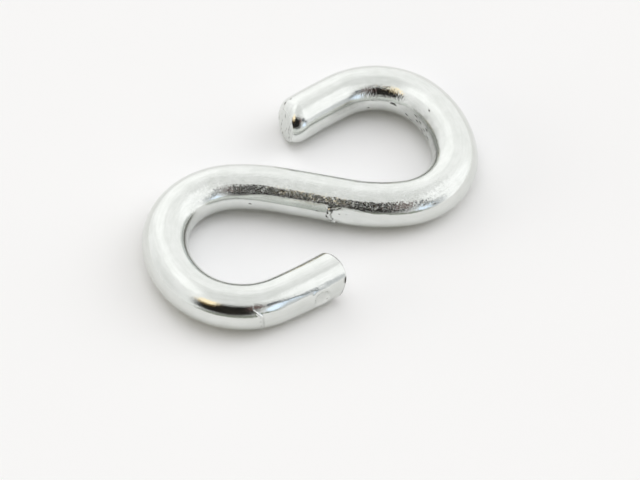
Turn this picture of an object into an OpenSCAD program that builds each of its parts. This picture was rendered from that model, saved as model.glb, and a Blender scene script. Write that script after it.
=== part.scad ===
// Open S-hook for a trailer's safety chain: one length of round bar, sheared at both ends and bent cold.
// Lengths are in millimetres. The hook lies flat on its side, with +X along its line of pull and +Z up.

/* [Bar] */
// Diameter of the round bar
bar_d = 9.5; // [6:0.1:12]
// Bevel that the shear leaves round the rim of each end
end_bevel = 0.8; // [0.2:0.1:1.2]
// Inside radius of the slight curve that is left in both ends of the bar
end_r = 120; // [60:5:400]

/* [Shank] */
// Straight length between the two hooks
shank_len = 14; // [6:0.5:30]

/* [Right hook] */
// Inside radius of the easy bend that leads from the shank into the right hook
right_lead_r = 27.5; // [16:0.5:50]
// Sweep of that easy bend, in degrees
right_lead_deg = 21; // [12:1:28]
// Inside radius of the tight bend at the right hook's heel
right_heel_r = 7.75; // [6:0.25:12]
// Sweep of the heel's bend, in degrees
right_heel_deg = 86; // [76:1:94]
// Inside radius of the right hook's crown, where the chain pulls
right_crown_r = 18; // [10:0.5:28]
// Sweep of the crown, in degrees
right_crown_deg = 38; // [28:1:46]
// Inside radius of the bend that turns the right hook's end back
right_toe_r = 9.75; // [7:0.25:14]
// Sweep of the turned-back bend, in degrees
right_toe_deg = 81; // [68:1:90]
// Length of the nearly straight stretch at the right hook's end
right_end_len = 13.5; // [4:0.5:15]
// Lean of that end's sheared face from upright, in degrees, above zero where it looks up
right_cut_lean = 8; // [-25:1:25]
// Turn of that face from square across the bar, in degrees, above zero towards the hook's inside
right_cut_turn = -14; // [-20:1:20]

/* [Left hook] */
// Inside radius of the easy bend that leads from the shank into the left hook
left_lead_r = 34; // [18:0.5:55]
// Sweep of that easy bend, in degrees
left_lead_deg = 15; // [8:1:22]
// Inside radius of the tight bend at the left hook's heel
left_heel_r = 9.75; // [7:0.25:13]
// Sweep of the heel's bend, in degrees
left_heel_deg = 89; // [79:1:97]
// Inside radius of the left hook's crown, where the frame's eye pulls
left_crown_r = 13.5; // [9:0.5:24]
// Sweep of the crown, in degrees
left_crown_deg = 45; // [34:1:53]
// Inside radius of the bend that turns the left hook's end back
left_toe_r = 10.5; // [7:0.25:15]
// Sweep of the turned-back bend, in degrees
left_toe_deg = 73; // [61:1:81]
// Length of the nearly straight stretch at the left hook's end
left_end_len = 12.5; // [4:0.5:16]
// Lean of that end's sheared face from upright, in degrees, above zero where it looks up
left_cut_lean = -17; // [-25:1:25]
// Turn of that face from square across the bar, in degrees, above zero towards the hook's inside
left_cut_turn = 6; // [-20:1:20]

/* [Hidden] */
$fn = 96;

bar_r = bar_d / 2;
// Radius of the flat inside the bevel of a sheared end
flat_r = bar_r - end_bevel;

// Sweep of a bend of that inside radius whose middle line has that length, in degrees
function sweep_of(length, inside_r) = length / (inside_r + bar_r) * 180 / PI;

// The bends of each hook in order from the shank, as inside radius and sweep
right_bends = [
    [right_lead_r, right_lead_deg],
    [right_heel_r, right_heel_deg],
    [right_crown_r, right_crown_deg],
    [right_toe_r, right_toe_deg],
    [end_r, sweep_of(right_end_len, end_r)]
];
left_bends = [
    [left_lead_r, left_lead_deg],
    [left_heel_r, left_heel_deg],
    [left_crown_r, left_crown_deg],
    [left_toe_r, left_toe_deg],
    [end_r, sweep_of(left_end_len, end_r)]
];
// Place of the crown among the bends of a hook
crown_index = 2;

// Step between the points that find the hook's outer limits, in degrees of bend
limit_step = 0.5;

// Size of the coarse step in which a bend is moved to its place
coarse = 0.01;

// Sweep by which a bend laps over what comes before it, so that the two become one solid, in degrees
lap = 0.000001;

// Unit vector along a heading, and the one to its left
function ahead(a) = [cos(a), sin(a)];
function leftward(a) = [-sin(a), cos(a)];

// Radius of bend k at the middle of the bar
function middle_r(bends, k) = bends[k][0] + bar_r;

// Heading of the bar where bend k starts, in degrees from the shank
function heading(bends, k) = k == 0 ? 0 : heading(bends, k - 1) + bends[k - 1][1];

// Point on the middle of the bar where bend k starts, which is where the bend before it ends
function bend_start(bends, k) =
    k == 0 ? [shank_len / 2, 0] : on_bend(bends, k - 1, bends[k - 1][1]);

// Centre of bend k, to the left of the bar
function bend_centre(bends, k) =
    bend_start(bends, k) + middle_r(bends, k) * leftward(heading(bends, k));

// Point on the middle of the bar, part of the way round bend k
function on_bend(bends, k, sweep) =
    bend_centre(bends, k) - middle_r(bends, k) * leftward(heading(bends, k) + sweep);

// Points along the middle of one hook's bar
function hook_points(bends) = [
    for (k = [0 : len(bends) - 1])
        for (t = [0 : limit_step : bends[k][1]])
            on_bend(bends, k, t)
];

// A point turned about the middle of the shank
function turned(p, a) = p.x * ahead(a) + p.y * leftward(a);

// The line of pull runs from one crown's centre to the other's
pull = bend_centre(right_bends, crown_index) + bend_centre(left_bends, crown_index);
pull_angle = atan2(pull.y, pull.x);

// The left hook is built like the right one, then given half a turn
outline = [
    for (p = hook_points(right_bends)) turned(p, -pull_angle),
    for (p = hook_points(left_bends)) turned(-p, -pull_angle)
];
xs = [for (p = outline) p.x];
ys = [for (p = outline) p.y];
middle = [max(xs) + min(xs), max(ys) + min(ys)] / 2;

// Moves to a point in a coarse and a fine step, which keeps the digits that let two bends meet exactly
module at(p) {
    near = [for (v = p) round(v / coarse) * coarse];
    translate(near)
        translate(p - near)
            children();
}

// Straight bar between the hooks
module shank() {
    translate([-shank_len / 2, 0, 0])
        rotate([0, 90, 0])
            cylinder(d = bar_d, h = shank_len);
}

// Bend k of a hook, which turns the bar to the left and may run on past its own sweep
module bend(bends, k, run_on = 0) {
    at(bend_centre(bends, k))
        rotate_extrude(angle = bends[k][1] + run_on + lap, start = heading(bends, k) - 90 - lap)
            translate([middle_r(bends, k), 0])
                circle(d = bar_d);
}

// What the shear takes off, with the bevel of the rim, from an end at the origin that faces +X and leans up
module shear_cut(lean, cut_off) {
    reach = bar_r + cut_off;
    rotate([0, 90 - lean, 0])
        rotate_extrude()
            polygon([
                [0, 0],
                [flat_r, 0],
                [reach, flat_r - reach],
                [reach, 2 * cut_off],
                [0, 2 * cut_off]
            ]);
}

// Everything past one end of the shank; the last bend runs on into what the shear takes off
module hook(bends, lean, turn) {
    last = len(bends) - 1;
    cut_off = bar_r * (tan(abs(lean)) + tan(abs(turn))) + end_bevel;
    difference() {
        union() {
            for (k = [0 : last - 1]) bend(bends, k);
            bend(bends, last, sweep_of(cut_off, end_r));
        }
        translate(bend_start(bends, last + 1))
            rotate([0, 0, heading(bends, last + 1) + turn])
                shear_cut(lean, cut_off);
    }
}

// The whole bar, lying on its side and centred on its own outline
module s_hook() {
    color("gainsboro")
        translate([-middle.x, -middle.y, bar_r])
            rotate([0, 0, -pull_angle]) {
                shank();
                hook(right_bends, right_cut_lean, right_cut_turn);
                rotate([0, 0, 180])
                    hook(left_bends, left_cut_lean, left_cut_turn);
            }
}

s_hook();
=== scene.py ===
"""Looks of a zinc plated S-hook for a trailer's safety chain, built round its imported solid.

Sizes of the bar and of the marks on it are in millimetres, along and round the bar. Meshes, the studio
and the camera are in metres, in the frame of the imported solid.
"""
import logging
import math
from abc import ABC, abstractmethod
from dataclasses import dataclass
from enum import Enum

import bpy
import numpy as np
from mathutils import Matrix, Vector


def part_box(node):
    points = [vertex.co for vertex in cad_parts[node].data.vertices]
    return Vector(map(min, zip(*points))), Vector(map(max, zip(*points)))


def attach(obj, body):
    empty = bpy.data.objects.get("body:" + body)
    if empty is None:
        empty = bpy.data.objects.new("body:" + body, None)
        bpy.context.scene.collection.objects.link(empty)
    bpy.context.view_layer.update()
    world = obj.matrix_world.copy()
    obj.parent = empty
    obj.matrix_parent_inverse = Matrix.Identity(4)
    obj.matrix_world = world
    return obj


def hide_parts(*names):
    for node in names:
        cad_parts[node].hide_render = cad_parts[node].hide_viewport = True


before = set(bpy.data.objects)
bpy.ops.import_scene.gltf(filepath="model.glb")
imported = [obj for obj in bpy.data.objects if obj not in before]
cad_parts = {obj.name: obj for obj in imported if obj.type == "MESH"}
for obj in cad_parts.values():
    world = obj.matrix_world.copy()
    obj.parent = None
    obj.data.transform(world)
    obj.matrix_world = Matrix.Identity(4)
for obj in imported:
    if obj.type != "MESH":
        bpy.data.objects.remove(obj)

log = logging.getLogger("s_hook")

Colour = tuple[float, float, float, float]
Profile = tuple[tuple[float, float], ...]
Socket = bpy.types.NodeSocket

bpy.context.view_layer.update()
NODE = "s_hook"
BODY = "root"
MM = 0.001
QUARTER = 90.0
HALF_TURN = 180.0
FULL_TURN = 360.0


class Side(Enum):
    """The two hooks of the S, named by the end of the frame's X axis that they lie at."""

    RIGHT = 1
    LEFT = -1


def smooth(x: np.ndarray) -> np.ndarray:
    """Eases a share from 0 to 1, level at both ends."""
    t = np.clip(x, 0.0, 1.0)
    return t * t * (3.0 - 2.0 * t)


def turn_between(a: np.ndarray, b: float) -> np.ndarray:
    """Signed angle from b to a, the short way round, in degrees."""
    return (a - b + HALF_TURN) % FULL_TURN - HALF_TURN


def step(x: np.ndarray) -> np.ndarray:
    """Rises from 0 to 1 in an eased slope, one wide and centred on zero."""
    return smooth(x + 0.5)


def bell(x: np.ndarray) -> np.ndarray:
    """Bell curve, 1 at zero and next to nothing past two."""
    return np.exp(-(x**2))


def read_profile(profile: Profile, x: np.ndarray) -> np.ndarray:
    """Reads a profile of places and values, with straight lines between its points."""
    places, values = zip(*profile)
    return np.interp(x, places, values)


@dataclass(frozen=True)
class Ripple:
    """Smooth seeded noise over the bar's surface, from -1 to 1.

    along and round are the lengths of one ripple, in millimetres and degrees.
    """

    along: float
    round: float
    seed: int = 0
    cells_along: int = 4096
    least_round: int = 3

    def at(self, s: np.ndarray, phi: np.ndarray, mark_seed: int = 0) -> np.ndarray:
        """Reads the ripple at places on the bar.

        Args:
            s: Lengths along the bar, in millimetres.
            phi: Angles round the bar, in degrees.
            mark_seed: Seed of the mark that is rippled, from which the ripple's own counts on.

        Returns:
            The ripple's height at each place.
        """
        rows, columns = self.cells_along, max(self.least_round, round(FULL_TURN / self.round))
        lattice = np.random.default_rng(mark_seed + self.seed).uniform(-1.0, 1.0, (rows, columns))
        u = s / self.along + rows / 2
        v = (phi % FULL_TURN) / FULL_TURN * columns
        i, j = np.floor(u).astype(int), np.floor(v).astype(int)
        fu, fv = smooth(u - i), smooth(v - j)
        i0, i1 = i % rows, (i + 1) % rows
        j0, j1 = j % columns, (j + 1) % columns
        low = lattice[i0, j0] * (1 - fu) + lattice[i1, j0] * fu
        high = lattice[i0, j1] * (1 - fu) + lattice[i1, j1] * fu
        return low * (1 - fv) + high * fv


@dataclass(frozen=True)
class Bend:
    """One bend of the bar to the left: its inside radius in millimetres and its sweep in degrees."""

    inside_r: float
    sweep: float


@dataclass(frozen=True)
class BarLine:
    """The line along the middle of the bent bar, measured in millimetres from the shank's middle."""

    bar_r: float
    shank_len: float = 14.0
    end_r: float = 120.0
    right: tuple[Bend, ...] = (Bend(27.5, 21), Bend(7.75, 86), Bend(18, 38), Bend(9.75, 81))
    right_end_len: float = 13.5
    left: tuple[Bend, ...] = (Bend(34, 15), Bend(9.75, 89), Bend(13.5, 45), Bend(10.5, 73))
    left_end_len: float = 12.5
    crown: int = 2
    limit_step: float = 0.05

    def bends(self, side: Side) -> tuple[Bend, ...]:
        """Bends of one hook, in order from the shank."""
        return self.right if side is Side.RIGHT else self.left

    def stretches(self, side: Side) -> list[tuple[float, float]]:
        """Lists the stretches of one half of the bar.

        Args:
            side: The hook at that half's end.

        Returns:
            Length and curvature of each stretch, from the shank's middle outwards.
        """
        found = [(self.shank_len / 2, 0.0)]
        for bend in self.bends(side):
            middle_r = bend.inside_r + self.bar_r
            found.append((middle_r * math.radians(bend.sweep), 1 / middle_r))
        end_len = self.right_end_len if side is Side.RIGHT else self.left_end_len
        found.append((end_len, 1 / (self.end_r + self.bar_r)))
        return found

    def length(self, side: Side) -> float:
        """Length of one half of the bar, from the shank's middle to its end."""
        return sum(length for length, _ in self.stretches(side))

    def half(self, along: np.ndarray, side: Side) -> tuple[np.ndarray, np.ndarray]:
        """Follows one half of the bar as if it were the right one.

        Args:
            along: Lengths from the shank's middle, none below zero.
            side: The half to follow.

        Returns:
            Points in the plane, and headings in radians from the shank's own.
        """
        points = np.zeros((len(along), 2))
        headings = np.zeros(len(along))
        start, place, heading = 0.0, np.zeros(2), 0.0
        stretches = self.stretches(side)
        for k, (length, curvature) in enumerate(stretches):
            is_last = k == len(stretches) - 1
            here = (along >= start) & ((along <= start + length) | is_last)
            d = along[here] - start
            points[here] = place + self.arc(d, heading, curvature)
            headings[here] = heading + d * curvature
            place = place + self.arc(np.array([length]), heading, curvature)[0]
            heading += length * curvature
            start += length
        return points, headings

    @staticmethod
    def arc(d: np.ndarray, heading: float, curvature: float) -> np.ndarray:
        """Steps along a stretch of even curvature.

        Args:
            d: Lengths along the stretch.
            heading: Heading at its start, in radians.
            curvature: One over its radius, or zero where it is straight.

        Returns:
            The step from the stretch's start to each place.
        """
        if curvature == 0.0:
            return d[:, None] * np.array([math.cos(heading), math.sin(heading)])
        turned = heading + d * curvature
        ahead, aside = np.sin(turned) - math.sin(heading), math.cos(heading) - np.cos(turned)
        return np.stack([ahead, aside], 1) / curvature

    def crown_centre(self, side: Side) -> np.ndarray:
        """Finds the centre of one hook's crown.

        Args:
            side: The hook.

        Returns:
            The centre, as if that hook were the right one.
        """
        before = sum(length for length, _ in self.stretches(side)[: self.crown + 1])
        points, headings = self.half(np.array([before]), side)
        leftward = np.array([-math.sin(headings[0]), math.cos(headings[0])])
        return points[0] + (self.bends(side)[self.crown].inside_r + self.bar_r) * leftward

    def whole(self, s: np.ndarray) -> tuple[np.ndarray, np.ndarray]:
        """Follows the whole bar in the shank's own frame.

        Args:
            s: Lengths along the bar, below zero in the left half.

        Returns:
            Points in the plane and headings in radians.
        """
        right_points, right_headings = self.half(np.maximum(s, 0.0), Side.RIGHT)
        left_points, left_headings = self.half(np.maximum(-s, 0.0), Side.LEFT)
        on_right = s >= 0
        points = np.where(on_right[:, None], right_points, -left_points)
        return points, np.where(on_right, right_headings, left_headings)

    def pull_angle(self) -> float:
        """Angle of the line of pull from the shank, in radians."""
        pull = self.crown_centre(Side.RIGHT) + self.crown_centre(Side.LEFT)
        return math.atan2(pull[1], pull[0])

    def placed(self, s: np.ndarray) -> tuple[np.ndarray, np.ndarray]:
        """Follows the whole bar in the frame, with the line of pull along X and the outline centred.

        Args:
            s: Lengths along the bar, in millimetres.

        Returns:
            Points in the plane, in millimetres, and headings in radians.
        """
        angle = self.pull_angle()
        turn = np.array([[math.cos(angle), math.sin(angle)], [-math.sin(angle), math.cos(angle)]])
        ends = -self.length(Side.LEFT), self.length(Side.RIGHT)
        outline = self.whole(np.arange(ends[0], ends[1], self.limit_step))[0] @ turn.T
        middle = (outline.max(0) + outline.min(0)) / 2
        points, headings = self.whole(s)
        return points @ turn.T - middle, headings - angle


@dataclass(frozen=True)
class BarArea:
    """Oval area of the bar's surface, in millimetres along it and degrees round it, with a soft edge."""

    s: float
    phi: float
    half_along: float
    half_round: float
    edge: float = 0.4

    def share(self, s: np.ndarray, phi: np.ndarray) -> np.ndarray:
        """Share of the area at each place: 1 in its middle and 0 outside it."""
        away = np.hypot((s - self.s) / self.half_along, turn_between(phi, self.phi) / self.half_round)
        return smooth((1 - away) / self.edge)


class Mark(ABC):
    """Something that shaping or handling left on the bar's surface."""

    @abstractmethod
    def lift(self, s: np.ndarray, phi: np.ndarray, bar_r: float) -> np.ndarray:
        """Tells how far the mark lifts the surface.

        Args:
            s: Lengths along the bar, in millimetres.
            phi: Angles round the bar, in degrees.
            bar_r: The bar's radius, in millimetres.

        Returns:
            Lift at each place, in millimetres, below zero where the mark is sunk.
        """

    def bare_and_painted_dark(self, s: np.ndarray, phi: np.ndarray, bar_r: float) -> np.ndarray:
        """Share of the bare bar's dark colour that the mark lays on, for bare bar, painted shade and
        darker plating; none unless a mark says otherwise.
        """
        return np.zeros_like(s)


@dataclass(frozen=True)
class DrawnWave(Mark):
    """Shallow waviness that drawing and bending leave along the bar."""

    ripple: Ripple
    height: float

    def lift(self, s: np.ndarray, phi: np.ndarray, bar_r: float) -> np.ndarray:
        """Lift of the wave at each place."""
        return self.height * self.ripple.at(s, phi)


@dataclass(frozen=True)
class PressedFlat(Mark):
    """Flat that a die pressed into the bar, with a ragged lip where it starts.

    edge gives the line on which it starts, as pairs of angle round the bar and length along it, and
    depth the depth at each length from there. way is 1 where it runs towards the right end and -1
    towards the left. Where it is sunk by more than shallow, it is as soft and scuffed as it gets. Dark
    lines of painted shade run along both feet of the lip and along the crease above the flat.
    """

    way: int
    phi: float
    edge: Profile
    depth: Profile
    soft: float = 0.1
    shallow: float = 0.1
    wall: float = 0.25
    least_cos: float = 0.2
    reach: float = 60.0
    fade: float = 8.0
    jag: float = 0.2
    fine_share: float = 0.5
    lip: float = 0.15
    lip_width: float = 0.5
    lip_span: tuple[float, float] = (-40.0, 40.0)
    crumble: float = 0.6
    # The next fields paint dark lines of shade in the bare colour: along both feet of the lip, with gaps
    # in them, and along the crease above the flat.
    painted_lip_shade: float = 0.0
    shade_line_width: float = 0.17
    gap_level: float = 0.8
    gap_swing: float = 1.5
    painted_crease_shade: float = 0.0
    crease_width: float = 2.5
    crease_len: float = 2.6
    crease_fade: float = 1.2
    scuff: float = 0.02
    seed: int = 1
    coarse_jag: Ripple = Ripple(1.0, 9.0)
    fine_jag: Ripple = Ripple(0.5, 4.0, seed=1)
    crumbs: Ripple = Ripple(0.4, 6.0, seed=2)
    gaps: Ripple = Ripple(0.5, 6.0, seed=3)
    coarse_scuff: Ripple = Ripple(1.2, 4.0, seed=4)
    fine_scuff: Ripple = Ripple(0.4, 9.0, seed=5)

    def from_edge(self, s: np.ndarray, off: np.ndarray) -> np.ndarray:
        """Length along the bar from the flat's ragged edge.

        Args:
            s: Lengths along the bar.
            off: Angles from the flat's own direction.

        Returns:
            Lengths from the edge, above zero on the flat.
        """
        coarse = self.coarse_jag.at(np.zeros_like(s), off, self.seed)
        fine = self.fine_jag.at(s, off, self.seed)
        ragged = self.jag * (coarse + self.fine_share * fine)
        return (s - read_profile(self.edge, off) - ragged) * self.way

    def along_lip(self, off: np.ndarray) -> np.ndarray:
        """Share of the lip at an angle from the flat's own direction, none past its two ends."""
        low, high = self.lip_span
        return smooth((off - low) / self.fade) * smooth((high - off) / self.fade)

    def lift(self, s: np.ndarray, phi: np.ndarray, bar_r: float) -> np.ndarray:
        """Tells how far the flat and the lip along its edge lift the surface.

        Args:
            s: Lengths along the bar, in millimetres.
            phi: Angles round the bar, in degrees.
            bar_r: The bar's radius, in millimetres.

        Returns:
            Lift at each place, in millimetres.
        """
        off = turn_between(phi, self.phi)
        past = self.from_edge(s, off)
        depth = read_profile(self.depth, past) * step(past / self.wall)
        room = (bar_r - depth) / np.clip(np.cos(np.radians(off)), self.least_cos, None) - bar_r
        sunk = (room - np.sqrt(room**2 + self.soft**2 * smooth(depth / self.shallow))) / 2
        sunk = sunk * smooth((self.reach - np.abs(off)) / self.fade) * (depth > 0)
        scuffs = self.coarse_scuff.at(s, off, self.seed) + self.fine_scuff.at(s, off, self.seed)
        sunk = sunk + self.scuff * scuffs * smooth(-sunk / self.shallow)
        crumbs = 1 + self.crumble * self.crumbs.at(s, off, self.seed)
        ridge = step((past + self.lip_width) / self.wall) * step(-past / self.wall)
        return sunk + self.lip * ridge * self.along_lip(off) * crumbs

    def bare_and_painted_dark(self, s: np.ndarray, phi: np.ndarray, bar_r: float) -> np.ndarray:
        """Tells where dark lines of painted shade go, along both feet of the lip and along the crease
        above the flat.

        Args:
            s: Lengths along the bar, in millimetres.
            phi: Angles round the bar, in degrees.
            bar_r: The bar's radius, in millimetres.

        Returns:
            Share of painted shade at each place.
        """
        off = turn_between(phi, self.phi)
        past = self.from_edge(s, off)
        # Painted shade: dark lines at both feet of the lip, and along the crease above the flat.
        sides = bell(past / self.shade_line_width) + bell((past + self.lip_width) / self.shade_line_width)
        gaps = smooth(self.gap_level + self.gap_swing * self.gaps.at(s, off, self.seed))
        crease = np.degrees(np.arccos(1 - read_profile(self.depth, past) / bar_r))
        upper = bell((-off - crease) / self.crease_width) * (past > 0)
        upper = upper * smooth((self.crease_len - past) / self.crease_fade)
        return np.minimum(self.painted_lip_shade * sides * self.along_lip(off) + self.painted_crease_shade * upper, 1.0) * gaps


@dataclass(frozen=True)
class RolledFacet(Mark):
    """Shallow facet that runs along the bar, with depths given at lengths along it."""

    phi: float
    depth: Profile
    soft: float = 0.01
    reach: float = 60.0
    fade: float = 20.0

    def lift(self, s: np.ndarray, phi: np.ndarray, bar_r: float) -> np.ndarray:
        """Tells how far the facet lifts the surface.

        Args:
            s: Lengths along the bar, in millimetres.
            phi: Angles round the bar, in degrees.
            bar_r: The bar's radius, in millimetres.

        Returns:
            Lift at each place, in millimetres, none of it above zero.
        """
        depth = read_profile(self.depth, s)
        off = np.clip(np.abs(turn_between(phi, self.phi)), 0.0, self.reach)
        room = (bar_r - depth) / np.cos(np.radians(off)) - bar_r
        sunk = (room - np.sqrt(room**2 + self.soft**2)) / 2
        return sunk * (depth > 0) * smooth((self.reach - off) / self.fade)


@dataclass(frozen=True)
class PressedSpot(Mark):
    """Oval spot that a tool's tip pressed flat, with a lip that was pushed up round it."""

    s: float
    phi: float
    along: float
    across: float
    depth: float
    lip: float
    lip_width: float = 0.26
    lip_reach: float = 1.1
    lip_uneven: float = 0.4
    wall: float = 0.3
    least_cos: float = 0.3
    ragged: float = 0.06
    rough: float = 0.03
    seed: int = 3
    rim_ripple: Ripple = Ripple(1.0, 12.0)
    floor_ripple: Ripple = Ripple(0.5, 6.0, seed=1)
    lip_ripple: Ripple = Ripple(0.9, 16.0, seed=2)

    def lift(self, s: np.ndarray, phi: np.ndarray, bar_r: float) -> np.ndarray:
        """Tells how far the spot and its lip lift the surface.

        Args:
            s: Lengths along the bar, in millimetres.
            phi: Angles round the bar, in degrees.
            bar_r: The bar's radius, in millimetres.

        Returns:
            Lift at each place, in millimetres.
        """
        off = np.radians(turn_between(phi, self.phi))
        away = np.hypot((s - self.s) / (self.along / 2), off * bar_r / (self.across / 2))
        away = away + self.ragged * self.rim_ripple.at(s, phi, self.seed)
        rough = self.rough * self.floor_ripple.at(s, phi, self.seed)
        flat = (bar_r - self.depth) / np.clip(np.cos(off), self.least_cos, None) - bar_r + rough
        sunk = np.minimum(flat, 0.0) * smooth((1.0 - away) / self.wall)
        lip = self.lip * bell((away - self.lip_reach) / self.lip_width)
        return sunk + lip * (1 + self.lip_uneven * self.lip_ripple.at(s, phi, self.seed))


@dataclass(frozen=True)
class Pit(Mark):
    """Small pit where the plating is broken and the bare bar shows dark."""

    s: float
    phi: float
    along: float
    across: float
    depth: float = 0.08
    lean: float = 0.0
    bow: float = 0.0
    sunk_to: float = 1.35
    sunk_fade: float = 0.7
    bare_to: float = 1.3
    bare_fade: float = 0.6

    def reach(self, s: np.ndarray, phi: np.ndarray, bar_r: float) -> np.ndarray:
        """Measures how far places lie from the pit's middle.

        Args:
            s: Lengths along the bar, in millimetres.
            phi: Angles round the bar, in degrees.
            bar_r: The bar's radius, in millimetres.

        Returns:
            Distances, where 1 is the pit's rim.
        """
        ahead = s - self.s
        aside = np.radians(turn_between(phi, self.phi)) * bar_r - self.lean * ahead - self.bow * ahead**2
        return np.hypot(ahead / (self.along / 2), aside / (self.across / 2))

    def lift(self, s: np.ndarray, phi: np.ndarray, bar_r: float) -> np.ndarray:
        """Lift of the pit, which is sunk all over."""
        return -self.depth * smooth((self.sunk_to - self.reach(s, phi, bar_r)) / self.sunk_fade)

    def bare_and_painted_dark(self, s: np.ndarray, phi: np.ndarray, bar_r: float) -> np.ndarray:
        """Share of bare bar in the pit."""
        return smooth((self.bare_to - self.reach(s, phi, bar_r)) / self.bare_fade)


@dataclass(frozen=True)
class DullStretch(Mark):
    """Stretch of a bend's inner side that is made darker and rougher than the rest of the plating."""

    area: BarArea
    dull: float
    level: float = 0.8
    swing: float = 0.4
    ripple: Ripple = Ripple(0.8, 10.0, seed=31)

    def lift(self, s: np.ndarray, phi: np.ndarray, bar_r: float) -> np.ndarray:
        """No lift, because only the plating changes."""
        return np.zeros_like(s)

    def bare_and_painted_dark(self, s: np.ndarray, phi: np.ndarray, bar_r: float) -> np.ndarray:
        """Share of darker, rougher plating, uneven over the stretch."""
        return self.dull * self.area.share(s, phi) * (self.level + self.swing * self.ripple.at(s, phi))


@dataclass(frozen=True)
class ShearedEnd:
    """One end of the bar as the shear left it.

    lean tips the face up and turn swings it towards the hook's inside, both in degrees. The rim is
    rounded over rim_along of the bar's length and rim_in of its radius. Round roll_phi the shear dragged
    the bar's side over, for roll_along and roll_in instead, which leaves an edge round the face there.
    """

    side: Side
    lean: float
    turn: float
    rim_along: float
    rim_in: float
    roll_phi: float
    roll_along: float
    roll_in: float
    roll_width: float
    uneven: float = 0.1
    # The next two fields paint a dark line of reflection along the rim: how much further along the bar it
    # reaches where it is darker, and its darkness at each angle round the bar.
    dark_along: float = 0.2
    darkened: Profile = ((-HALF_TURN, 0.0), (HALF_TURN, 0.0))
    rim_rings: int = 16
    face_rings: int = 10
    edge_share: float = 0.985
    seed: int = 11
    ripple: Ripple = Ripple(1.0, 24.0)

    def rim_size(self, phi: np.ndarray) -> tuple[np.ndarray, np.ndarray]:
        """Sizes the rounded rim.

        Args:
            phi: Angles round the bar, in degrees.

        Returns:
            How far the rounding reaches along the bar, and in from its side, in millimetres.
        """
        uneven = 1 + self.uneven * self.ripple.at(np.zeros_like(phi), phi, self.seed)
        roll = bell(turn_between(phi, self.roll_phi) / self.roll_width)
        along = self.rim_along * (1 - roll) + self.roll_along * roll
        inward = self.rim_in * (1 - roll) + self.roll_in * roll
        return along * uneven, inward * uneven

    def rim_dark_line(self, phi: np.ndarray, from_cut: np.ndarray) -> np.ndarray:
        """Share of painted dark reflection along the rim.

        Args:
            phi: Angles round the bar, in degrees.
            from_cut: Lengths along the bar's side from the cut, in millimetres.

        Returns:
            The share of painted dark reflection at each place.
        """
        darkened = read_profile(self.darkened, turn_between(phi, 0.0))
        return np.minimum(darkened, 1.0) * step(1 - from_cut / (self.rim_along + self.dark_along * darkened))

    def cut(self, phi: np.ndarray, r: np.ndarray | float) -> np.ndarray:
        """Tells how far past the end's middle the cut lies.

        Args:
            phi: Angles round the bar, in degrees.
            r: Distances from the bar's middle, in millimetres.

        Returns:
            Lengths along the bar, in millimetres.
        """
        a = np.radians(phi)
        turn = math.radians(self.turn)
        aside = self.side.value * np.cos(a) * math.tan(turn)
        return -r * (aside + np.sin(a) * math.tan(math.radians(self.lean)) / math.cos(turn))


@dataclass(frozen=True)
class Skin:
    """Corners of the bar's skin, ring by ring: length along the bar, share of its radius, and angle."""

    s: np.ndarray
    share: np.ndarray
    phi: np.ndarray


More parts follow.
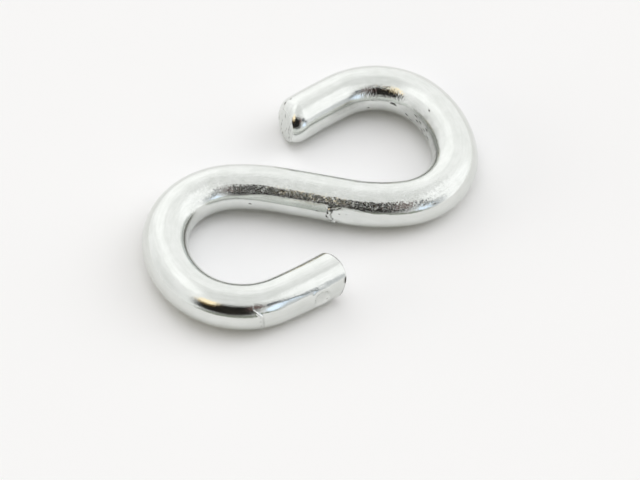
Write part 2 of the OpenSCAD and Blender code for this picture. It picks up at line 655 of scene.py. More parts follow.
@dataclass(frozen=True)
class HookBar:
    """The bent bar: a fine skin swept along its line, with its marks and its two sheared ends."""

    line: BarLine
    marks: tuple[Mark, ...]
    ends: tuple[ShearedEnd, ShearedEnd]
    sides: int = 192
    coarse: float = 0.55
    fine: float = 0.12
    fine_spans: tuple[tuple[float, float], ...] = (
        (-82.0, -77.5),
        (-70.6, -66.8),
        (2.8, 7.4),
        (57.0, 60.6),
    )
    end_zone: float = 4.0
    end_step: float = 0.18
    face_from: float = 0.9
    face_fade: float = 0.2
    rough_half: float = 24.0
    rough_fade: float = 14.0
    rough_phi: float = 124.0
    rough_round: float = 40.0
    rough_edge: float = 0.5
    rough_least: float = 0.25
    smooth_phi: float = 163.0
    smooth_round: float = 22.0
    wrinkled: BarArea = BarArea(s=63.0, phi=36.0, half_along=9.0, half_round=30.0)
    name: str = "bent_bar"
    lay_name: str = "bar_lay"
    # Attribute of the dark share: bare bar, painted shade and reflection lines, and darker plating.
    bare_and_dark_name: str = "bare_steel_and_painted_dark"
    wrinkle_name: str = "wrinkle_share"
    cut_name: str = "sheared_face"
    rough_name: str = "rough_share"

    def angles(self) -> np.ndarray:
        """Angles round the bar of the skin's corners, in degrees, from the underside round."""
        return -QUARTER + np.arange(self.sides) * FULL_TURN / self.sides

    def end_profile(self, end: ShearedEnd) -> tuple[np.ndarray, np.ndarray]:
        """Shapes one end from where its zone starts to the middle of its face.

        Args:
            end: The sheared end.

        Returns:
            Lengths along the bar past the zone's start and shares of its radius, a row for each ring.
        """
        phi = self.angles()
        along, inward = end.rim_size(phi)
        bend = 2 * np.arctan(inward / along)
        inner = self.line.bar_r - inward
        rim_start = self.end_zone + end.cut(phi, inner) - along
        approach = round(self.end_zone / self.end_step)
        lengths = [rim_start * k / approach for k in range(1, approach)]
        radii = [np.full_like(phi, self.line.bar_r)] * (approach - 1)
        for k in range(end.rim_rings + 1):
            t = bend * k / end.rim_rings
            lengths.append(rim_start + along * np.sin(t) / np.sin(bend))
            radii.append(self.line.bar_r - inward * (1 - np.cos(t)) / (1 - np.cos(bend)))
        for share in (end.edge_share, *np.linspace(1, 0, end.face_rings + 1)[1:-1]):
            radii.append(inner * share)
            lengths.append(self.end_zone + end.cut(phi, radii[-1]))
        return np.array(lengths), np.array(radii) / self.line.bar_r

    def plain_rings(self) -> np.ndarray:
        """Places the rings between the two end zones.

        Returns:
            Lengths along the bar, close together where the marks need it.
        """
        stop = self.line.length(Side.RIGHT) - self.end_zone
        places = [self.end_zone - self.line.length(Side.LEFT)]
        while places[-1] < stop - self.fine:
            is_fine = any(low <= places[-1] <= high for low, high in self.fine_spans)
            places.append(min(stop, places[-1] + (self.fine if is_fine else self.coarse)))
        return np.array(places)

    def skin(self) -> Skin:
        """Lays out the whole skin.

        Returns:
            Its corners, ring by ring from the left end's face to the right end's.
        """
        left_lengths, left_shares = self.end_profile(self.ends[0])
        right_lengths, right_shares = self.end_profile(self.ends[1])
        places = self.plain_rings()
        body = np.repeat(places[:, None], self.sides, 1)
        s = np.vstack([places[0] - left_lengths[::-1], body, places[-1] + right_lengths])
        share = np.vstack([left_shares[::-1], np.ones_like(body), right_shares])
        return Skin(s, share, np.repeat(self.angles()[None, :], len(s), 0))

    def end_rows(self, skin: Skin) -> tuple[tuple[ShearedEnd, slice], ...]:
        """Pairs each end with the half of the skin's rings that runs out to it."""
        half = len(skin.s) // 2
        return (self.ends[0], slice(None, half)), (self.ends[1], slice(half, None))

    def surface(self, skin: Skin) -> tuple[np.ndarray, np.ndarray]:
        """Places the skin's corners in the frame, with the marks worked in.

        Args:
            skin: The skin's corners on the bar.

        Returns:
            Points in metres, and the share of the bare bar's dark colour at each: bare bar, painted shade
            and reflection lines, and darker plating.
        """
        radius = self.line.bar_r
        lift = np.zeros_like(skin.s)
        bare_and_painted_dark = np.zeros_like(skin.s)
        for mark in self.marks:
            lift = lift + mark.lift(skin.s, skin.phi, radius)
            bare_and_painted_dark = np.maximum(bare_and_painted_dark, mark.bare_and_painted_dark(skin.s, skin.phi, radius))
        for end, rows in self.end_rows(skin):
            phi = skin.phi[rows]
            cut_at = self.line.length(end.side) + end.cut(phi, radius)
            # The rims get a painted dark line that stands for their reflection of dark surroundings.
            darkened = end.rim_dark_line(phi, cut_at - np.abs(skin.s[rows]))
            on_side = skin.share[rows] > 1 - end.rim_size(phi)[1] / radius
            bare_and_painted_dark[rows] = np.maximum(bare_and_painted_dark[rows], darkened * on_side)
        r = ((radius + lift) * skin.share).ravel()
        points, headings = self.line.placed(skin.s.ravel())
        a = np.radians(skin.phi.ravel())
        side = np.stack([-np.sin(headings), np.cos(headings)], 1)
        flat = points + (r * np.cos(a))[:, None] * side
        height = np.maximum(radius + r * np.sin(a), 0.0)
        return np.column_stack([flat, height]) * MM, bare_and_painted_dark.ravel()

    def faces(self, rings: int) -> list[tuple[int, ...]]:
        """Joins the rings with quads, and closes both faces with triangles round a middle corner.

        Args:
            rings: Number of rings.

        Returns:
            Corner numbers of every face, wound to face outwards.
        """
        n = self.sides
        made = []
        for i in range(rings - 1):
            for j in range(n):
                k = (j + 1) % n
                made.append((i * n + j, (i + 1) * n + j, (i + 1) * n + k, i * n + k))
        first, last = rings * n, rings * n + 1
        for j in range(n):
            k = (j + 1) % n
            made.append((first, j, k))
            made.append((last, (rings - 1) * n + k, (rings - 1) * n + j))
        return made

    def with_tips(self, values: np.ndarray) -> np.ndarray:
        """Adds the middle corners of both faces to values that are given at every other corner."""
        tips = [values[: self.sides].mean(0), values[-self.sides :].mean(0)]
        return np.concatenate([values, np.array(tips)]).astype(np.float32)

    def straightened(self, skin: Skin) -> np.ndarray:
        """Lays the skin out on the bar as it was before it was bent.

        Args:
            skin: The skin's corners on the bar.

        Returns:
            Points in millimetres: along the bar, across it and up.
        """
        a = np.radians(skin.phi)
        r = self.line.bar_r * skin.share
        return np.stack([skin.s, r * np.cos(a), r * np.sin(a)], -1).reshape(-1, 3)

    def sheared_share(self, skin: Skin) -> np.ndarray:
        """Tells where the skin is a sheared face.

        Args:
            skin: The skin's corners on the bar.

        Returns:
            Share at each corner: none on the bar's side, all on the flat of an end.
        """
        found = np.zeros_like(skin.s)
        for end, rows in self.end_rows(skin):
            rim = end.rim_size(self.angles())[1] / self.line.bar_r
            found[rows] = smooth(((1 - skin.share[rows]) / rim - self.face_from) / self.face_fade)
        return found.ravel()

    def rough_share(self, skin: Skin) -> np.ndarray:
        """Tells where the plating is coarse.

        Args:
            skin: The skin's corners on the bar.

        Returns:
            Share at each corner: most on one side of the shank, none where it was pressed.
        """
        along = smooth(1 - (np.abs(skin.s) - self.rough_half) / self.rough_fade)
        from_rough = np.abs(turn_between(skin.phi, self.rough_phi)) / self.rough_round
        from_smooth = np.abs(turn_between(skin.phi, self.smooth_phi)) / self.smooth_round
        rough = self.rough_least + (1 - self.rough_least) * smooth((1 - from_rough) / self.rough_edge)
        return (along * rough * smooth((from_smooth - self.rough_edge) / self.rough_edge)).ravel()

    def build(self) -> bpy.types.Object:
        """Makes the bar's mesh.

        Returns:
            The new object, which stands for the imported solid.
        """
        skin = self.skin()
        points, bare_and_painted_dark = self.surface(skin)
        mesh = bpy.data.meshes.new(self.name)
        mesh.from_pydata(self.with_tips(points).tolist(), [], self.faces(len(skin.s)))
        mesh.shade_smooth()
        lay = mesh.attributes.new(self.lay_name, "FLOAT_VECTOR", "POINT")
        lay.data.foreach_set("vector", self.with_tips(self.straightened(skin)).ravel())
        shares = {
            self.bare_and_dark_name: bare_and_painted_dark,
            self.wrinkle_name: self.wrinkled.share(skin.s, skin.phi).ravel(),
            self.cut_name: self.sheared_share(skin),
            self.rough_name: self.rough_share(skin),
        }
        for name, values in shares.items():
            mesh.attributes.new(name, "FLOAT", "POINT").data.foreach_set("value", self.with_tips(values))
        bar = bpy.data.objects.new(self.name, mesh)
        bpy.context.scene.collection.objects.link(bar)
        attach(bar, BODY)
        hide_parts(NODE)
        return bar

    def dress(self, piece: bpy.types.Object, finish: bpy.types.Material) -> None:
        """Puts a finish on the bar."""
        piece.data.materials.append(finish)


class NodeSheet:
    """A node tree that is filled in step by step."""

    def __init__(self, tree: bpy.types.NodeTree) -> None:
        """Takes over a tree and clears it.

        Args:
            tree: The node tree of a material, a world or a group.
        """
        self.tree = tree
        tree.nodes.clear()

    def add(self, kind: str, inputs: dict | None = None, **settings: object) -> bpy.types.Node:
        """Adds a node.

        Args:
            kind: Blender's name for the node's type.
            inputs: Values or sockets for its inputs, by name or number.
            settings: Values for the node's own properties.

        Returns:
            The new node.
        """
        node = self.tree.nodes.new(kind)
        for name, value in settings.items():
            setattr(node, name, value)
        for name, value in (inputs or {}).items():
            if isinstance(value, Socket):
                self.tree.links.new(value, node.inputs[name])
            else:
                node.inputs[name].default_value = value
        return node

    def math(self, operation: str, *values: object) -> Socket:
        """Adds a Math node and returns its result."""
        return self.add("ShaderNodeMath", dict(enumerate(values)), operation=operation).outputs[0]

    def vector(self, operation: str, *values: object) -> Socket:
        """Adds a Vector Math node and returns its result: a value for a dot product, or else a vector."""
        node = self.add("ShaderNodeVectorMath", dict(enumerate(values)), operation=operation)
        return node.outputs["Value" if operation == "DOT_PRODUCT" else "Vector"]

    def share(self, value: object, low: float, high: float) -> Socket:
        """Eases a value between two limits to a share from 0 to 1."""
        inputs = {"Value": value, "From Min": low, "From Max": high}
        return self.add("ShaderNodeMapRange", inputs, interpolation_type="SMOOTHSTEP").outputs["Result"]

    def mix(self, share: object, first: object, second: object, **settings: object) -> Socket:
        """Mixes two colours."""
        inputs = {0: share, 6: first, 7: second}
        return self.add("ShaderNodeMix", inputs, data_type="RGBA", **settings).outputs[2]

    def blend(self, share: object, first: object, second: object) -> Socket:
        """Mixes two values."""
        return self.add("ShaderNodeMix", {0: share, 2: first, 3: second}).outputs[0]

    def attribute(self, name: str, output: str = "Fac") -> Socket:
        """Reads an attribute of the mesh."""
        return self.add("ShaderNodeAttribute", attribute_name=name).outputs[output]


@dataclass(frozen=True)
class GrainNoise:
    """Noise over the straightened bar: its ripples to a millimetre and the finer ripples on top.

    stretch is the share of each length that the noise counts, small where it is drawn out.
    """

    scale: float
    detail: float
    stretch: tuple[float, float, float] = (1.0, 1.0, 1.0)
    roughness: float = 0.55

    def add_to(self, sheet: NodeSheet, place: Socket) -> Socket:
        """Adds the noise to a node group.

        Args:
            sheet: The group's node sheet.
            place: The place on the straightened bar.

        Returns:
            The noise, from 0 to 1.
        """
        drawn = sheet.vector("MULTIPLY", place, self.stretch)
        inputs = {"Vector": drawn, "Scale": self.scale, "Detail": self.detail, "Roughness": self.roughness}
        return sheet.add("ShaderNodeTexNoise", inputs).outputs["Fac"]


@dataclass(frozen=True)
class PlatingGrain:
    """Node group for the crystals of zinc plating, over the lines and ripples of a drawn and bent bar."""

    name: str = "plating_grain"
    crystals: GrainNoise = GrainNoise(3.0, 2.0)
    lines: GrainNoise = GrainNoise(1.8, 1.0, (0.15, 1.0, 1.0))
    ripples: GrainNoise = GrainNoise(2.2, 1.0, (1.0, 0.6, 0.6))
    clouds: GrainNoise = GrainNoise(0.35, 3.0)
    scratches: GrainNoise = GrainNoise(2.2, 2.0, (1.0, 1.0, 0.16))
    crystal_height: float = 0.11
    rough_height: float = 0.14
    line_height: float = 0.05
    ripple_height: float = 0.48
    facet_height: float = 1.25
    facet_scale: float = 2.9
    facet_join: float = 0.15
    facet_slope: tuple[float, float, float] = (0.5, 1.0, 1.0)
    cloud_tint: float = 0.6
    line_tint: float = 0.4
    scratch_from: float = 0.6
    scratch_to: float = 0.68

    def build(self) -> bpy.types.NodeTree:
        """Makes the group.

        Returns:
            A group that takes a place on the straightened bar, with the shares of wrinkled and of coarse
            plating there, and puts out a height, a tint and a mask of scratches.
        """
        group = bpy.data.node_groups.new(self.name, "ShaderNodeTree")
        group.interface.new_socket("Place", in_out="INPUT", socket_type="NodeSocketVector")
        for name in ("Wrinkle Share", "Rough Share"):
            group.interface.new_socket(name, in_out="INPUT", socket_type="NodeSocketFloat")
        for name in ("Height", "Tint", "Scratch"):
            group.interface.new_socket(name, in_out="OUTPUT", socket_type="NodeSocketFloat")
        sheet = NodeSheet(group)
        source = sheet.add("NodeGroupInput").outputs
        place, rough = source["Place"], source["Rough Share"]
        lines = self.lines.add_to(sheet, place)
        drawn = sheet.math("MULTIPLY", lines, self.line_height)
        wrinkled = sheet.math("MULTIPLY", self.ripples.add_to(sheet, place), self.ripple_height)
        formed = sheet.blend(source["Wrinkle Share"], drawn, wrinkled)
        crystal_height = sheet.blend(rough, self.crystal_height, self.rough_height)
        fine = sheet.math("MULTIPLY", self.crystals.add_to(sheet, place), crystal_height)
        facet_height = sheet.math("MULTIPLY", rough, self.facet_height)
        coarse = sheet.math("MULTIPLY", self.facets(sheet, place), facet_height)
        height = sheet.math("ADD", sheet.math("ADD", fine, coarse), formed)
        clouds = sheet.math("MULTIPLY", self.clouds.add_to(sheet, place), self.cloud_tint)
        tint = sheet.math("ADD", clouds, sheet.math("MULTIPLY", lines, self.line_tint))
        scratches = self.scratches.add_to(sheet, place)
        scratch = sheet.share(scratches, self.scratch_from, self.scratch_to)
        sheet.add("NodeGroupOutput", {"Height": height, "Tint": tint, "Scratch": scratch})
        return group

    def facets(self, sheet: NodeSheet, place: Socket) -> Socket:
        """Adds the flat facets of coarse crystals, each with a slope of its own, least along the bar.

        Args:
            sheet: The group's node sheet.
            place: The place on the straightened bar.

        Returns:
            The height above the middle of each facet.
        """
        inputs = {"Vector": place, "Scale": self.facet_scale, "Smoothness": self.facet_join}
        cells = sheet.add("ShaderNodeTexVoronoi", inputs, feature="SMOOTH_F1").outputs
        level = tuple(-slope / 2 for slope in self.facet_slope)
        slope = sheet.vector("MULTIPLY_ADD", cells["Color"], self.facet_slope, level)
        return sheet.vector("DOT_PRODUCT", slope, sheet.vector("SUBTRACT", place, cells["Position"]))


@dataclass(frozen=True)
class ZincPlate:
    """Bright zinc plating, with the bare bar showing dark in its pits and duller on the sheared faces; its
    dark colour also paints lines of shade and reflection.
    """

    name: str = "zinc_plate"
    pale: Colour = (0.765, 0.782, 0.758, 1.0)
    deep: Colour = (0.705, 0.725, 0.695, 1.0)
    # Colour of bare bar, also used to paint dark lines of shade and reflection.
    bare_and_painted_dark: Colour = (0.05, 0.045, 0.036, 1.0)
    smooth_roughness: float = 0.1
    dull_roughness: float = 0.15
    cut_roughness: float = 0.34
    bare_and_dark_roughness: float = 0.6
    tint_from: float = 0.3
    tint_to: float = 0.7
    grain_depth: float = 0.15 * MM
    scratch_share: float = 0.7

    def build(self, bar: HookBar, grain: bpy.types.NodeTree) -> bpy.types.Material:
        """Makes the material.

        Args:
            bar: The bar, whose attributes say where it is bare, painted dark, bent and sheared.
            grain: The plating's node group.

        Returns:
            The new material.
        """
        material = bpy.data.materials.new(self.name)
        material.use_nodes = True
        sheet = NodeSheet(material.node_tree)
        bare_and_painted_dark, cut = sheet.attribute(bar.bare_and_dark_name), sheet.attribute(bar.cut_name)
        inputs = {
            "Place": sheet.attribute(bar.lay_name, "Vector"),
            "Wrinkle Share": sheet.attribute(bar.wrinkle_name),
            "Rough Share": sheet.attribute(bar.rough_name),
        }
        grained = sheet.add("ShaderNodeGroup", inputs, node_tree=grain).outputs
        tint = sheet.share(grained["Tint"], self.tint_from, self.tint_to)
        scratched = sheet.math("MULTIPLY", grained["Scratch"], cut)
        # Pits, scratches and painted lines of shade and reflection darken towards the bare colour.
        darkened = sheet.math("MAXIMUM", bare_and_painted_dark, sheet.math("MULTIPLY", scratched, self.scratch_share))
        colour = sheet.mix(darkened, sheet.mix(tint, self.deep, self.pale), self.bare_and_painted_dark)
        plated = sheet.blend(tint, self.dull_roughness, self.smooth_roughness)
        roughness = sheet.blend(bare_and_painted_dark, sheet.blend(cut, plated, self.cut_roughness), self.bare_and_dark_roughness)
        inputs = {"Height": grained["Height"], "Distance": self.grain_depth, "Strength": 1.0}
        bump = sheet.add("ShaderNodeBump", inputs).outputs["Normal"]
        inputs = {"Base Color": colour, "Metallic": 1.0, "Roughness": roughness, "Normal": bump}
        shader = sheet.add("ShaderNodeBsdfPrincipled", inputs)
        sheet.add("ShaderNodeOutputMaterial", {"Surface": shader.outputs["BSDF"]})
        return material


class Outline(Enum):
    """Outlines of a patch of light, by the power that rounds its corners."""

    OVAL = 2.0
    CARD = 4.0


@dataclass(frozen=True)
class LightPatch:
    """One patch of the studio's surroundings, as the hook reflects it.

    lon is measured to the right of the camera's own direction and lat up from the floor, both in degrees.
    """

    name: str
    lon: float
    lat: float
    half_lon: float
    half_lat: float
    edge: float
    colour: tuple[float, float, float]
    outline: Outline = Outline.OVAL


@dataclass(frozen=True)
class SkyLobe:
    """One broad source of the light on the floor, which fades away from its middle direction."""

    name: str
    lon: float
    lat: float
    spread: float
    colour: Colour


@dataclass(frozen=True)
class Camera:
    """The camera at the photograph's viewing angle."""

    azimuth: float = -48.266
    elevation: float = 50.5
    distance: float = 1.045
    look_from: tuple[float, float] = (0.000645, -0.000283)
    look_px: tuple[float, float] = (314.94, 210.64)
    focal_px: float = 5021.2
    frame_px: tuple[int, int] = (640, 480)
    sensor: float = 36.0
    clip: tuple[float, float] = (0.05, 50.0)

    def front(self) -> Vector:
        """Level direction from the hook to the camera."""
        a = math.radians(self.azimuth)
        return Vector((math.sin(a), -math.cos(a), 0.0))

    def right(self) -> Vector:
        """Level direction to the right of the picture."""
        a = math.radians(self.azimuth)
        return Vector((math.cos(a), math.sin(a), 0.0))

    def build(self) -> bpy.types.Object:
        """Makes the camera and sets it for the scene.

        Returns:
            The camera.
        """
        e = math.radians(self.elevation)
        back = self.front() * math.cos(e) + Vector((0, 0, math.sin(e)))
        up = back.cross(self.right())
        across = (self.frame_px[0] / 2 - self.look_px[0]) / self.focal_px
        down = (self.frame_px[1] / 2 - self.look_px[1]) / self.focal_px
        aim = -back + self.right() * across - up * down
        data = bpy.data.cameras.new("camera")
        data.sensor_width = self.sensor
        data.lens = self.focal_px * self.sensor / self.frame_px[0]
        data.clip_start, data.clip_end = self.clip
        made = bpy.data.objects.new("camera", data)
        bpy.context.scene.collection.objects.link(made)
        made.location = Vector((*self.look_from, 0.0)) + back * self.distance
        made.rotation_mode = "QUATERNION"
        made.rotation_quaternion = aim.to_track_quat("-Z", "Y")
        bpy.context.scene.camera = made
        return made


@dataclass(frozen=True)
class Studio:
    """A pale floor in a white light tent, open towards the camera.

    The patches are what the metal shows of the tent. What lights the floor is a soft sky of the same
    tent, from overhead, from both sides and low down at the front.
    """

    camera: Camera
    floor_half: float = 4.0
    floor_front: float = 0.09
    floor_colour: Colour = (0.945, 0.945, 0.943, 1.0)
    floor_roughness: float = 0.9
    backdrop: Colour = (0.933, 0.927, 0.917, 1.0)
    sky_level: Colour = (0.03, 0.02, 0.0, 1.0)
    lobes: tuple[SkyLobe, ...] = (
        SkyLobe("overhead", 0, 90, 8, (1.76, 1.78, 1.84, 1.0)),
        SkyLobe("right", 108, 33, 11, (2.68, 2.7, 2.76, 1.0)),
        SkyLobe("high_right", 90, 70, 8, (0.45, 0.45, 0.469, 1.0)),
        SkyLobe("behind_left", -150, 40, 11, (1.7, 1.71, 1.74, 1.0)),
        SkyLobe("low_left", -90, 10, 12, (2.78, 2.74, 2.64, 1.0)),
        SkyLobe("low_front", -12, 10, 12, (1.34, 1.22, 0.957, 1.0)),
    )
    horizon: Colour = (1.12, 1.12, 1.12, 1.0)
    zenith: Colour = (0.886, 0.89, 0.885, 1.0)
    zenith_from: float = 53.0
    zenith_to: float = 76.0
    patches: tuple[LightPatch, ...] = (
        LightPatch("left_wall", -86, 15, 47, 45, 0.9, (0.92, 0.92, 0.92)),
        LightPatch("right_lamp", 85, 30, 44, 48, 0.42, (1.27, 1.27, 1.28)),
        LightPatch("back_lamp", -157, 30, 28, 34, 0.5, (1.27, 1.27, 1.27)),
        LightPatch("left_lamp", -112, 59, 52, 14, 0.4, (1.28, 1.28, 1.28)),
        LightPatch("dim_front", -4, 32, 62, 42, 0.5, (0.68, 0.68, 0.67)),
        LightPatch("right_low", 46, 12, 26, 22, 0.6, (0.68, 0.695, 0.715)),
        LightPatch("table_front", -5, 0, 58, 9, 0.4, (0.26, 0.28, 0.235)),
        LightPatch("opening", -19, 30.5, 43, 28, 0.4, (0.012, 0.011, 0.01), Outline.CARD),
        LightPatch("brown_right", 15, 40, 11, 14, 0.5, (0.18, 0.122, 0.115), Outline.CARD),
        LightPatch("grey_right", 36, 36, 13, 11, 0.5, (0.14, 0.15, 0.165)),
        LightPatch("grey_low", 46, 20, 8, 12, 0.5, (0.22, 0.235, 0.24)),
        LightPatch("cool_window", 36, 13, 14, 12.5, 0.6, (1.1, 1.26, 1.48)),
        LightPatch("warm_edge", -45, 38, 13, 8, 0.6, (0.42, 0.28, 0.11), Outline.CARD),
        LightPatch("warm_card", -45, 47, 13.4, 10.5, 0.28, (1.42, 1.2, 0.83), Outline.CARD),
    )

    def build_floor(self) -> bpy.types.Object:
        """Makes the floor.

        Returns:
            The floor, which isn't part of the hook.
        """
        front, right = self.camera.front(), self.camera.right()
        near, far, aside = front * self.floor_front, -front * self.floor_half, right * self.floor_half
        mesh = bpy.data.meshes.new("floor")
        mesh.from_pydata([near - aside, near + aside, far + aside, far - aside], [], [(0, 1, 2, 3)])
        floor = bpy.data.objects.new("floor", mesh)
        bpy.context.scene.collection.objects.link(floor)
        material = bpy.data.materials.new("floor_paper")
        material.use_nodes = True
        sheet = NodeSheet(material.node_tree)
        inputs = {
            "Base Color": self.floor_colour,
            "Roughness": self.floor_roughness,
            "Specular IOR Level": 0.0,
        }
        shader = sheet.add("ShaderNodeBsdfPrincipled", inputs)
        sheet.add("ShaderNodeOutputMaterial", {"Surface": shader.outputs["BSDF"]})
        mesh.materials.append(material)
        return floor

    def build_world(self) -> bpy.types.World:
        """Makes the light tent round the hook.

        Returns:
            The world.
        """
        world = bpy.data.worlds.new("light_tent")
        bpy.context.scene.world = world
        world.use_nodes = True
        sheet = NodeSheet(world.node_tree)
        ray = sheet.add("ShaderNodeTexCoord").outputs["Generated"]
        ahead = sheet.vector("DOT_PRODUCT", ray, self.camera.front())
        aside = sheet.vector("DOT_PRODUCT", ray, self.camera.right())
        up = sheet.vector("DOT_PRODUCT", ray, Vector((0, 0, 1)))
        lon = sheet.math("DEGREES", sheet.math("ARCTAN2", aside, ahead))
        lat = sheet.math("DEGREES", sheet.math("ARCSINE", up))
        colour = sheet.mix(sheet.share(lat, self.zenith_from, self.zenith_to), self.horizon, self.zenith)
        for patch in self.patches:
            share = self.patch_share(sheet, patch, lon, lat)
            colour = sheet.mix(share, colour, (*patch.colour, 1.0), label=patch.name)
        sky = self.sky_level
        for lobe in self.lobes:
            share = self.lobe_share(sheet, lobe, ray)
            sky = sheet.mix(share, sky, lobe.colour, label=lobe.name, blend_type="ADD")
        rays = sheet.add("ShaderNodeLightPath").outputs
        colour = sheet.mix(rays["Is Glossy Ray"], sky, colour)
        colour = sheet.mix(rays["Is Camera Ray"], colour, self.backdrop)
        shader = sheet.add("ShaderNodeBackground", {"Color": colour, "Strength": 1.0})
        sheet.add("ShaderNodeOutputWorld", {"Surface": shader.outputs["Background"]})
        return world

    def lobe_share(self, sheet: NodeSheet, lobe: SkyLobe, ray: Socket) -> Socket:
        """Finds the share of a lobe's light in a ray's direction.

        Args:
            sheet: The world's node sheet.
            lobe: The lobe.
            ray: The ray's direction.

        Returns:
            A share from 0 to 1, most at the lobe's middle.
        """
        lon, lat = math.radians(lobe.lon), math.radians(lobe.lat)
        level = self.camera.front() * math.cos(lon) + self.camera.right() * math.sin(lon)
        way = level * math.cos(lat) + Vector((0, 0, math.sin(lat)))
        towards = sheet.math("MAXIMUM", sheet.vector("DOT_PRODUCT", ray, way), 0.0)
        return sheet.math("POWER", towards, lobe.spread)

    @staticmethod
    def patch_share(sheet: NodeSheet, patch: LightPatch, lon: Socket, lat: Socket) -> Socket:
        """Finds the share of a patch in a ray's direction.

        Args:
            sheet: The world's node sheet.
            patch: The patch.
            lon: The ray's direction to the right of the camera's, in degrees.
            lat: The ray's direction above the floor, in degrees.

        Returns:
            A share from 0 outside the patch to 1 inside it.
        """
        off = sheet.math("WRAP", sheet.math("SUBTRACT", lon, patch.lon), HALF_TURN, -HALF_TURN)
        across = sheet.math("DIVIDE", off, patch.half_lon)
        upward = sheet.math("DIVIDE", sheet.math("SUBTRACT", lat, patch.lat), patch.half_lat)
        power = patch.outline.value
        both = sheet.math("ADD", sheet.math("POWER", across, power), sheet.math("POWER", upward, power))
        away = sheet.math("POWER", both, 1.0 / power)
        return sheet.share(away, 1.0, 1.0 - patch.edge)


def sheared_ends() -> tuple[ShearedEnd, ShearedEnd]:
    """Lists the two ends of this bar.

    Returns:
        The left end, whose rim has a painted dark line of reflection, and the right one, whose rim is
        rolled over.
    """
    # Darkness of the painted reflection line round the left end's rim, by angle round the bar.
    rim_dark_levels = (
        (-80.0, 0.0), (-50.0, 1.2), (-25.0, 0.8), (12.0, 0.2), (20.0, 1.6), (29.0, 1.6),
        (35.0, 0.0), (60.0, 0.1), (85.0, 0.7), (125.0, 0.8), (150.0, 0.0),
    )
    left = ShearedEnd(
        Side.LEFT,
        lean=-17.0,
        turn=6.0,
        rim_along=0.35,
        rim_in=0.3,
        roll_phi=110.0,
        roll_along=0.6,
        roll_in=0.5,
        roll_width=45.0,
        darkened=rim_dark_levels,
        seed=12,
    )
    right = ShearedEnd(
        Side.RIGHT,
        lean=8.0,
        turn=-14.0,
        rim_along=2.8,
        rim_in=1.35,
        roll_phi=40.0,
        roll_along=3.4,
        roll_in=1.5,
        roll_width=40.0,
    )
    return left, right


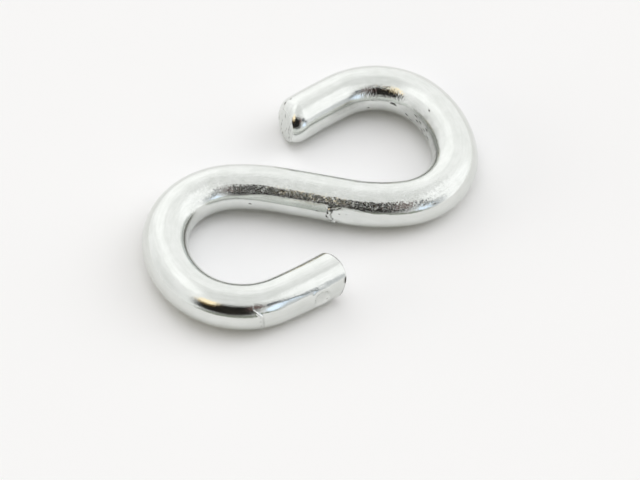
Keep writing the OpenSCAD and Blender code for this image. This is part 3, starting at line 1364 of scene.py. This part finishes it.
def marks_on_bar() -> tuple[Mark, ...]:
    """Lists the marks on this bar, by their length along it and angle round it.

    Returns:
        The marks, in the order in which they are worked in.
    """
    return (
        DrawnWave(Ripple(along=14.0, round=40.0, seed=5), height=0.02),
        DrawnWave(Ripple(along=40.0, round=14.0, seed=6), height=0.01),
        PressedFlat(
            way=1,
            phi=172.0,
            edge=((-16.0, 4.4), (-12.0, 4.65), (-1.0, 4.45), (19.0, 5.0), (33.0, 5.5)),
            depth=(
                (0.0, 0.14), (1.2, 0.26), (2.1, 0.42), (3.1, 0.5),
                (5.0, 0.38), (6.5, 0.22), (8.5, 0.11), (13.0, 0.0),
            ),
            soft=0.12,
            jag=0.26,
            lip=0.25,
            lip_width=0.95,
            # Dark lines of painted shade along both feet of the lip and along the crease above the flat.
            painted_lip_shade=0.9,
            painted_crease_shade=0.9,
            lip_span=(-22.0, 36.0),
            seed=21,
        ),
        RolledFacet(133.5, ((-24.0, 0.0), (-15.0, 0.045), (14.0, 0.045), (20.0, 0.0)), soft=0.04),
        RolledFacet(155.6, ((-15.5, 0.0), (-11.0, 0.07), (-7.0, 0.105), (3.4, 0.115), (4.4, 0.0))),
        PressedFlat(
            way=-1,
            phi=34.0,
            edge=((-40.0, -69.1), (-12.0, -68.9), (-2.0, -68.3), (9.0, -67.5)),
            depth=((0.0, 0.0), (2.0, 0.02), (3.6, 0.07), (5.2, 0.09), (7.0, 0.06), (9.2, 0.0)),
            soft=0.12,
            jag=0.0,
            lip=0.0,
            scuff=0.002,
            seed=22,
        ),
        PressedFlat(
            way=-1,
            phi=2.0,
            edge=(
                (-40.0, -69.1), (-4.0, -69.0), (10.0, -68.96),
                (21.0, -68.9), (30.0, -68.3), (41.0, -67.5),
            ),
            depth=((0.0, 0.16), (1.2, 0.24), (4.6, 0.3), (8.0, 0.26), (11.0, 0.22), (20.0, 0.22)),
            soft=0.55,
            jag=0.06,
            lip=0.09,
            lip_width=0.45,
            lip_span=(-40.0, 42.0),
            # Faint dark lines of painted shade along both feet of the lip.
            painted_lip_shade=0.2,
            scuff=0.004,
            seed=22,
        ),
        PressedSpot(s=-81.0, phi=2.5, along=3.8, across=4.4, depth=0.4, lip=0.1, lip_width=0.25),
        DullStretch(BarArea(s=43.0, phi=16.0, half_along=16.0, half_round=42.0), dull=0.22),
        DullStretch(
            BarArea(s=73.0, phi=12.0, half_along=7.0, half_round=14.0),
            dull=0.2,
            ripple=Ripple(0.8, 10.0, seed=32),
        ),
        Pit(s=59.0, phi=14.0, along=2.2, across=0.4, depth=0.12, lean=0.15, bow=-0.15),
        Pit(s=67.0, phi=-10.8, along=0.6, across=0.45),
        Pit(s=54.0, phi=-1.8, along=0.9, across=0.45),
        Pit(s=52.3, phi=-11.0, along=1.3, across=0.35, lean=0.1),
        Pit(s=50.6, phi=19.0, along=0.9, across=0.3),
        Pit(s=49.7, phi=8.0, along=1.2, across=0.3),
        Pit(s=48.4, phi=14.0, along=0.9, across=0.25),
        Pit(s=47.3, phi=-3.5, along=1.7, across=0.35),
        Pit(s=46.2, phi=8.0, along=0.9, across=0.25),
        Pit(s=45.1, phi=18.0, along=1.1, across=0.3),
        Pit(s=43.6, phi=2.5, along=1.7, across=0.35),
        Pit(s=-13.3, phi=177.0, along=0.7, across=0.35),
        Pit(s=48.1, phi=57.0, along=0.4, across=0.32, depth=0.05),
        Pit(s=23.3, phi=148.0, along=0.45, across=0.3),
        Pit(s=7.7, phi=167.0, along=0.7, across=0.12, depth=0.02, lean=0.2),
        Pit(s=6.1, phi=169.0, along=0.5, across=0.12, depth=0.02, lean=-0.2),
        Pit(s=1.6, phi=167.0, along=0.5, across=0.25),
        Pit(s=5.95, phi=151.0, along=1.2, across=0.3, depth=0.06, lean=-0.68),
        Pit(s=4.4, phi=159.0, along=0.7, across=0.35, depth=0.06),
        Pit(s=3.75, phi=166.5, along=0.4, across=0.6, depth=0.06),
        Pit(s=3.65, phi=179.0, along=0.35, across=0.7, depth=0.06),
        Pit(s=4.4, phi=-166.0, along=0.8, across=0.35, depth=0.06),
        Pit(s=84.8, phi=126.0, along=0.6, across=0.5),
        Pit(s=83.5, phi=119.0, along=0.35, across=0.3),
    )


def main() -> None:
    """Builds the camera, the studio and the hook, and reports each."""
    logging.basicConfig(level=logging.INFO, format="%(name)s: %(message)s")
    bpy.context.scene.view_settings.view_transform = "Standard"
    camera = Camera()
    log.info("camera %s", camera.build().name)
    studio = Studio(camera)
    log.info("floor %s", studio.build_floor().name)
    log.info("world %s", studio.build_world().name)
    low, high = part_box(NODE)
    line = BarLine(bar_r=(high.z - low.z) / MM / 2)
    bar = HookBar(line, marks_on_bar(), sheared_ends())
    piece = bar.build()
    finish = ZincPlate().build(bar, PlatingGrain().build())
    bar.dress(piece, finish)
    log.info("piece %s with %d faces, in %s", piece.name, len(piece.data.polygons), finish.name)


if __name__ == "__main__":
    main()
